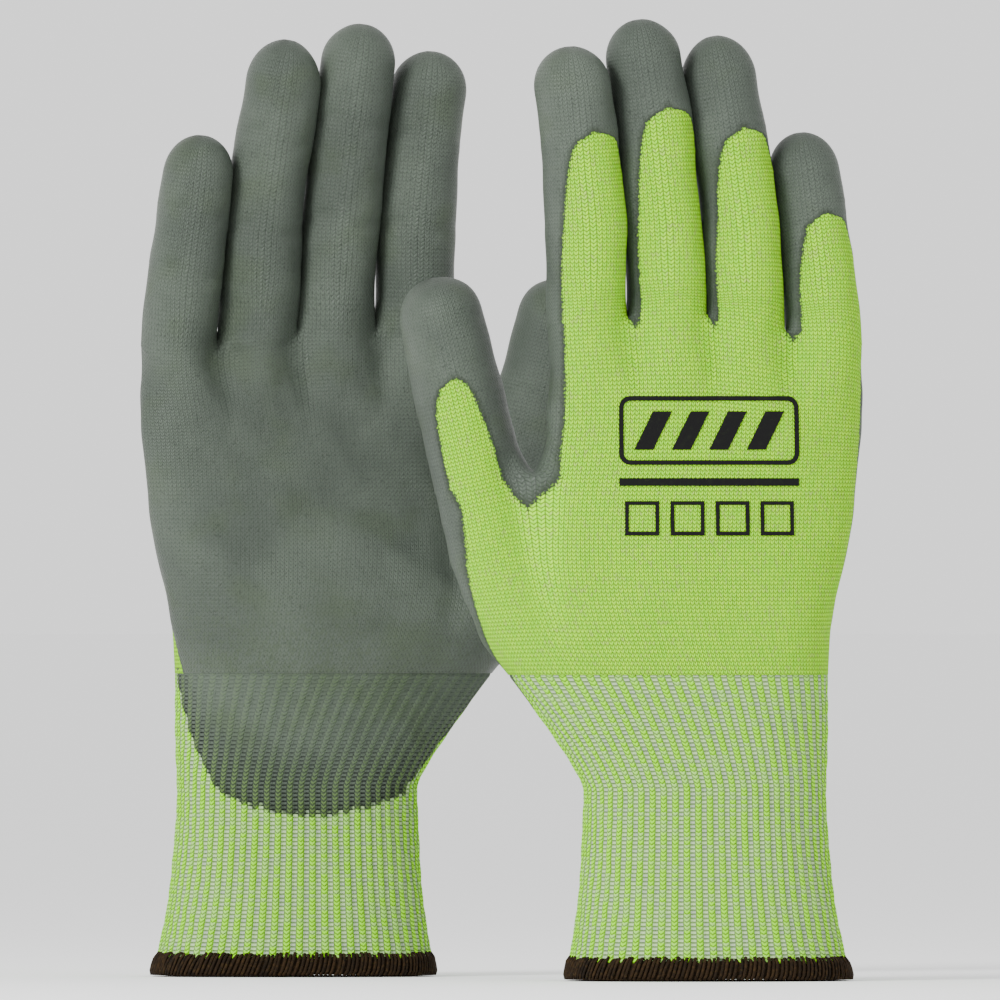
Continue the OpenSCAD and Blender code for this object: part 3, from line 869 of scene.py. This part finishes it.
# soft unevenness, creases at the folds, and the coating's own thickness
# each wave has a direction, a height in millimetres and a start
uneven = {
    "waves": [((0.06, 0.02, 0.05), 0.22, 0.4), ((-0.04, 0.03, 0.09), 0.18, 1.9),
              ((0.11, -0.02, -0.07), 0.10, 3.1), ((0.05, 0.09, 0.21), 0.05, 0.7),
              ((0.27, 0.11, 0.13), 0.035, 2.2)],
    "crease": 0.55, "pad": 0.25, "knuckle": 0.18, "coatStep": 0.22,
    "thickness": 1.2, "dents": 1.5, "dentSize": 15.0, "ripples": 0.45, "rippleSize": 6.5,
}


def dented(points, size, shift):
    # smooth hollows and ridges, longer along a slanted line than across it
    a, b = math.cos(0.9), math.sin(0.9)
    across, along = points[:, 0] * a + points[:, 2] * b, points[:, 2] * a - points[:, 0] * b
    return np.array([noise.noise((x / size + shift, y / size, z / size / 2.2))
                     for x, y, z in zip(across, points[:, 1], along)])


normals = vertexNormals(skinPoints, skinQuads)
lift = np.zeros(len(skinPoints))
for wave, amount, phase in uneven["waves"]:
    lift += amount * np.sin(skinPoints @ np.array(wave) * 2.2 + phase)
stiff = 0.3 + 0.7 * smooth(skinCoat / 3)
onDigits = np.unique(skinQuads[skinGroups != "hand"])
# neighbouring fingers keep their distance
stiff[onDigits] *= 0.5 - 0.4 * np.abs(normals[onDigits, 0])
lift += uneven["dents"] * dented(skinPoints, uneven["dentSize"], 3.0) * stiff
lift += uneven["ripples"] * dented(skinPoints, uneven["rippleSize"], 11.0) * stiff
lift *= smooth((skinPoints[:, 2] - 80) / 12)
for name, digit in digits.items():
    members = np.unique(skinQuads[np.char.startswith(skinGroups.astype(str), name)])
    spots = skinPoints[members]
    for foldAt in digit.folds[1:]:
        centre = digit.point(foldAt)
        way, across, back = digit.frameAt(foldAt)
        rel = spots - centre
        palmward = np.clip(-(rel @ back) / 9.0, -1, 1)
        along = rel @ way + 1.2 * np.sin(rel @ across * 0.35)
        lift[members] -= uneven["crease"] * np.exp(-(along / 1.8) ** 2) * np.clip(palmward, 0, 1)
        lift[members] += uneven["pad"] * np.exp(-((along - 6) / 4) ** 2) * np.clip(palmward, 0, 1)
        lift[members] += (uneven["knuckle"] * np.sin(along * 1.9) * np.exp(-(along / 5) ** 2)
                          * np.clip(-palmward, 0, 1))
lift += uneven["coatStep"] * smooth(skinCoat / 0.9 + 0.3)
lift *= 0.2 + 0.8 * smooth((skinPoints[:, 2] - 80) / 5)
skinPoints = skinPoints + normals * lift[:, None]
normals = vertexNormals(skinPoints, skinQuads)

uvAll = np.array(skin.uvs, float)


def skinPart(group):
    # the faces of one group as a closed piece
    pick = skinGroups == group
    used, flat = np.unique(skinQuads[pick], return_inverse=True)
    local = flat.reshape(-1, 4)
    return closedSheet(skinPoints[used], local, uvAll[pick], normals[used],
                       uneven["thickness"], skinCoat[used])


skinTree = BVHTree.FromPolygons([tuple(p) for p in skinPoints],
                                [[int(i) for n, i in enumerate(q) if i != q[n - 1]] for q in skinQuads])


def segmentsOf(name):
    return ["base", "tip"] if name == "thumb" else ["base", "mid", "tip"]


def blendDigit(piece, name, part):
    # the fold's middle and direction are found, and the segment's placement is baked into its mesh
    digit = digits[name]
    middle = digit.folds[part]
    way = digit.frameAt(middle)[0]
    anchor = digit.point(middle)
    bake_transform(piece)


sides = ["rear", "front"]
for side in sides:
    sheet = skinPart("hand")
    piece = makePiece(f"{side}_hand_skin", side, *sheet[:4], knitPaint, sheet[4])
    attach(piece, "pair_of_hands")
    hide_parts(f"{side}_hand_knit", f"{side}_palm_coating")
    for name in digits:
        for part, segment in enumerate(segmentsOf(name)):
            sheet = skinPart(f"{name}{part}")
            piece = makePiece(f"{side}_{name}_{segment}_skin", side, *sheet[:4], knitPaint, sheet[4])
            blendDigit(piece, name, part)
            if segment == "tip":
                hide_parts(f"{side}_{name}_tip")
            else:
                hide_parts(f"{side}_{name}_{segment}_knit", f"{side}_{name}_{segment}_coating")
print("hand and digits made")

# the ribbed cuff, its top under the hand's edge
cuff = {"ribs": 58, "perRib": 6, "rows": 72, "low": 4.6, "high": 81.4, "relief": 0.38, "thickness": 1.7}


def cuffSheet():
    count = cuff["ribs"] * cuff["perRib"]
    points, coats = [], []
    columns = np.arange(count)
    share = columns / cuff["perRib"]
    profile = np.cos((share - 0.25) * 2 * np.pi)
    for i in range(cuff["rows"] + 1):
        z = cuff["low"] + (cuff["high"] - cuff["low"]) * i / cuff["rows"]
        ring = ringAt(z, count, 180.0)
        ahead, behind = np.roll(ring, -1, axis=0), np.roll(ring, 1, axis=0)
        tangent = unit(ahead - behind)
        outward = np.stack([tangent[:, 1], -tangent[:, 0], np.zeros(count)], 1)
        fade = 1 - 0.75 * smooth((z - 72) / 8)
        under = -0.18 * smooth((z - 79.5) / 0.6)
        wander = 0.12 * np.sin(z * 0.21 + share * 0.9) + 0.1 * np.sin(z * 0.9 + share * 2.3)
        wander *= smooth((79 - z) / 6)
        angle = np.mod(np.degrees(np.arctan2((ring[:, 1]) / 21, (ring[:, 0] - 1) / 32)), 360)
        angle = np.where(angle < 100, angle + 360, angle)
        edge = np.interp(angle, coating["cuffAngle"], coating["cuffHeight"])
        coat = (z - edge) * 0.8
        fade = fade * (1 - 0.6 * smooth(coat / 5))
        lifted = ring + outward * (profile * cuff["relief"] * fade + under + wander
                                   + 0.15 * smooth(coat / 2))[:, None]
        points += list(lifted)
        coats += list(coat)
    points = np.array(points)
    quads, uvs = [], []
    for i in range(cuff["rows"]):
        for j in range(count):
            k = (j + 1) % count
            quads.append((i * count + j, i * count + k, (i + 1) * count + k, (i + 1) * count + j))
            left, right = j / cuff["perRib"], (j + 1) / cuff["perRib"]
            uvs.append(((left, i), (right, i), (right, i + 1), (left, i + 1)))
    quads = np.array(quads)
    return closedSheet(points, quads, np.array(uvs, float), vertexNormals(points, quads),
                       cuff["thickness"], np.array(coats))


sheet = cuffSheet()
for side in sides:
    piece = makePiece(f"{side}_cuff_ribbing", side, *sheet[:4], ribPaint, sheet[4])
    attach(piece, "pair_of_hands")
    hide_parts(f"{side}_cuff_rib")
print("cuffs made")

# the overlocked hem
hem = {"wraps": 172, "thread": 0.46, "out": 0.55, "in": 2.3, "lean": 1.7, "round": 205}
rng = np.random.default_rng(7)


def hemMesh():
    # a core that follows the cuff's edge, and slanted loops of thread over it
    points, faces, corners = [], [], []
    count = 180
    profile = [(hem["out"] * 0.6, 0.5), (hem["out"], 2.4), (hem["out"] * 0.8, 4.6), (0.1, 5.2),
               (-hem["in"] + 0.5, 5.2), (-hem["in"] - 0.1, 4.4), (-hem["in"] - 0.2, 2.4),
               (-hem["in"] * 0.9, 0.5)]
    rings = [ringAt(z, count, 180.0, off) for off, z in profile]
    n = len(profile)
    for r in rings:
        points += list(r)
    for i in range(n):
        for j in range(count):
            a, b = i * count + j, i * count + (j + 1) % count
            c, d = ((i + 1) % n) * count + (j + 1) % count, ((i + 1) % n) * count + j
            faces.append([a, b, c, d])
            corners += [(0, i / 4), (0, i / 4), (0, i / 4 + 0.2), (0, i / 4 + 0.2)]
    dense = 1720
    path = [(hem["out"] + 0.10, 0.25), (hem["out"] + 0.42, 1.4), (hem["out"] + 0.46, 3.0),
            (hem["out"] + 0.34, 4.5), (hem["out"] * 0.5, 5.7), (-0.9, 5.75), (-hem["in"] - 0.15, 5.2),
            (-hem["in"] - 0.35, 3.2), (-hem["in"] - 0.2, 1.0), (-0.9, 0.15)]
    stack = {p: ringAt(p[1], dense, 180.0, p[0]) for p in path}
    sidesOfTube = 6
    perMillimetre = dense / hem["round"]
    for k in range(hem["wraps"]):
        start = k / hem["wraps"] * dense
        jitter = rng.uniform(-0.18, 0.18)
        tall = rng.uniform(-0.35, 0.55)
        line = []
        for m, p in enumerate(path):
            # the loop leans by a stitch on the way up and comes back inside
            lean = (math.sin(math.pi * m / len(path)) * hem["lean"] + jitter) * perMillimetre
            spot = stack[p][int(round(start + lean)) % dense].copy()
            spot[2] += tall * (1.0 if m in (3, 4) else 0.3 if m in (2, 5) else 0.0)
            spot[2] = max(spot[2], hem["thread"] + 0.02)
            line.append(spot)
        line = np.array(line)
        centre = line.mean(axis=0)
        first = len(points)
        for m in range(len(line)):
            way = unit(line[(m + 1) % len(line)] - line[m - 1])
            out = unit(line[m] - centre)
            across = unit(np.cross(way, out))
            out = np.cross(across, way)
            for q in range(sidesOfTube):
                a = 2 * math.pi * q / sidesOfTube
                points.append(line[m] + hem["thread"] * (math.cos(a) * out * 0.8 + math.sin(a) * across))
        for m in range(len(line)):
            for q in range(sidesOfTube):
                a = first + m * sidesOfTube + q
                b = first + m * sidesOfTube + (q + 1) % sidesOfTube
                c = first + ((m + 1) % len(line)) * sidesOfTube + (q + 1) % sidesOfTube
                d = first + ((m + 1) % len(line)) * sidesOfTube + q
                faces.append([a, b, c, d])
                corners += [(k, m), (k, m), (k, m + 1), (k, m + 1)]
    return np.array(points), faces, np.array(corners, float)


hemPoints, hemFaces, hemCorners = hemMesh()
for side in sides:
    piece = makePiece(f"{side}_hem_thread", side, hemPoints, hemFaces, hemCorners, None, threadPaint)
    bpy.ops.object.select_all(action="DESELECT")
    bpy.context.view_layer.objects.active = piece
    piece.select_set(True)
    bpy.ops.object.mode_set(mode="EDIT")
    bpy.ops.mesh.select_all(action="SELECT")
    bpy.ops.mesh.normals_make_consistent(inside=False)
    bpy.ops.object.mode_set(mode="OBJECT")
    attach(piece, "pair_of_hands")
    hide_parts(f"{side}_hem_overlock")
print("hems made")

# the plain mark printed on the back
mark = {
    "x": 1.0, "z": 144.0, "lift": 0.10, "thickness": 0.15,
    "frame": (24, 9, 3), "rim": 1.2, "bars": (-15, -5, 5, 15), "bar": (5, 10),
    "rule": (-14.5, -12.5), "squares": (-18, -6, 6, 18), "squareZ": -23, "square": 4.5, "hole": 7 / 9,
}


def roundedLoop(halfWidth, halfHeight, corner, steps=8):
    spots = []
    for cx, cy, start in ((1, 1, 0), (-1, 1, 90), (-1, -1, 180), (1, -1, 270)):
        for i in range(steps + 1):
            a = math.radians(start + 90 * i / steps)
            spots.append((cx * (halfWidth - corner) + corner * math.cos(a),
                          cy * (halfHeight - corner) + corner * math.sin(a)))
    return np.array(spots)


def between(a, b, steps):
    return [a + (b - a) * i / steps for i in range(steps + 1)]


def markMesh():
    flat, quads = [], []

    def strip(pairs, across, closed=False):
        first = len(flat)
        for p, q in pairs:
            flat.extend(between(np.array(p, float), np.array(q, float), across))
        n, w = len(pairs), across + 1
        for i in range(n if closed else n - 1):
            for j in range(across):
                a, b = first + i * w + j, first + (i + 1) % n * w + j
                quads.append((a, b, b + 1, a + 1))

    def divided(points, limit):
        out = []
        for a, b in zip(points, np.roll(points, -1, axis=0)):
            n = max(1, int(np.linalg.norm(b - a) / limit))
            out += [a + (b - a) * i / n for i in range(n)]
        return np.array(out)

    outer, inner = roundedLoop(*mark["frame"]), roundedLoop(*(size - mark["rim"] for size in mark["frame"]))
    ratio = [max(1, int(np.linalg.norm(b - a) / 1.6)) for a, b in zip(outer, np.roll(outer, -1, axis=0))]
    pairs = []
    for i, n in enumerate(ratio):
        j = (i + 1) % len(outer)
        pairs += [(outer[i] + (outer[j] - outer[i]) * k / n, inner[i] + (inner[j] - inner[i]) * k / n)
                  for k in range(n)]
    strip(pairs, 1, True)
    width, height = mark["bar"]
    for x in mark["bars"]:
        strip([((x - width + width * t, height * t - height / 2), (x + width * t, height * t - height / 2))
               for t in np.linspace(0, 1, 9)], 4)
    half = mark["frame"][0]
    strip([[(2 * half * t - half, z) for z in mark["rule"]] for t in np.linspace(0, 1, 40)], 2)
    edge = divided(mark["square"] * np.array([(1, 1), (-1, 1), (-1, -1), (1, -1)]), 1.2)
    for x in mark["squares"]:
        middle = np.array([x, mark["squareZ"]])
        strip([(middle + p, middle + p * mark["hole"]) for p in edge], 1, True)
    flat = np.array(flat)
    spots, spotNormals = [], []
    for fx, fz in flat:
        # seen from the back, the mark's own x runs towards the little finger
        start = Vector((mark["x"] - fx, 60.0, mark["z"] + fz))
        hit, normal = skinTree.ray_cast(start, Vector((0, -1, 0)))[:2]
        spots.append(np.array(hit))
        spotNormals.append(np.array(normal) * (1 if normal[1] > 0 else -1))
    spots, spotNormals = np.array(spots), unit(np.array(spotNormals))
    quads = np.array(quads)
    # strips wind either way, so each is turned to face outwards
    a, b, c = (spots[quads[:, i]] for i in (0, 1, 2))
    wrong = np.cross(b - a, c - a)[:, 1] < 0
    quads[wrong] = quads[wrong][:, ::-1]
    outside = spots + spotNormals * (mark["lift"] + mark["thickness"])
    uvs = np.zeros((len(quads), 4, 2)) + 0.5
    return closedSheet(outside, quads, uvs, spotNormals, mark["thickness"] + 0.05)


sheet = markMesh()
for side in sides:
    piece = makePiece(f"{side}_back_mark", side, *sheet[:4], inkPaint)
    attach(piece, "pair_of_hands")
    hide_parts(f"{side}_back_print")
print("marks made")

# lights are given by their place, size in metres and power in watts
studio = {
    "floorSize": 60, "floorTone": 0.97, "world": 1.35,
    "key": ((-1.5, -1.5, 1.0), 0.7, 66), "fill": ((1.4, -1.4, 0.6), 1.2, 6), "lightsAimZ": 0.12,
    "turn": math.radians(5.2), "lens": 1600.0, "sensor": 36.0, "width": 0.262, "lookZ": 0.1258,
}

bpy.ops.object.select_all(action="DESELECT")
bpy.ops.mesh.primitive_plane_add(size=studio["floorSize"], location=(0, 0, -0.0002))
floor = bpy.context.active_object
floor.name = "studio_floor"
paper, paperShader = newMaterial("floor_paper", 0.9)
paperShader.inputs["Base Color"].default_value = (studio["floorTone"],) * 3 + (1,)
floor.data.materials.append(paper)

world = bpy.data.worlds.new("studio")
world.use_nodes = True
world.node_tree.nodes["Background"].inputs["Color"].default_value = (1, 1, 1, 1)
world.node_tree.nodes["Background"].inputs["Strength"].default_value = studio["world"]
bpy.context.scene.world = world


def addLight(name, spot, size, power):
    data = bpy.data.lights.new(name, "AREA")
    data.size = size
    data.energy = power
    light = bpy.data.objects.new(name, data)
    light.location = spot
    aim = Vector((0, 0, studio["lightsAimZ"])) - Vector(spot)
    light.rotation_euler = aim.to_track_quat("-Z", "Y").to_euler()
    bpy.context.scene.collection.objects.link(light)


addLight("key", *studio["key"])
addLight("fill", *studio["fill"])
print("studio made")

cameraData = bpy.data.cameras.new("camera")
cameraData.sensor_width = studio["sensor"]
cameraData.lens = studio["lens"]
cameraData.clip_end = 100
distance = studio["width"] * studio["lens"] / studio["sensor"] + 0.06
cameraObject = bpy.data.objects.new("camera", cameraData)
eye = Vector((-distance * math.sin(studio["turn"]), -distance * math.cos(studio["turn"]), studio["lookZ"]))
cameraObject.location = eye
cameraObject.rotation_euler = (Vector((0, 0, studio["lookZ"])) - eye).to_track_quat("-Z", "Y").to_euler()
bpy.context.scene.collection.objects.link(cameraObject)
bpy.context.scene.camera = cameraObject
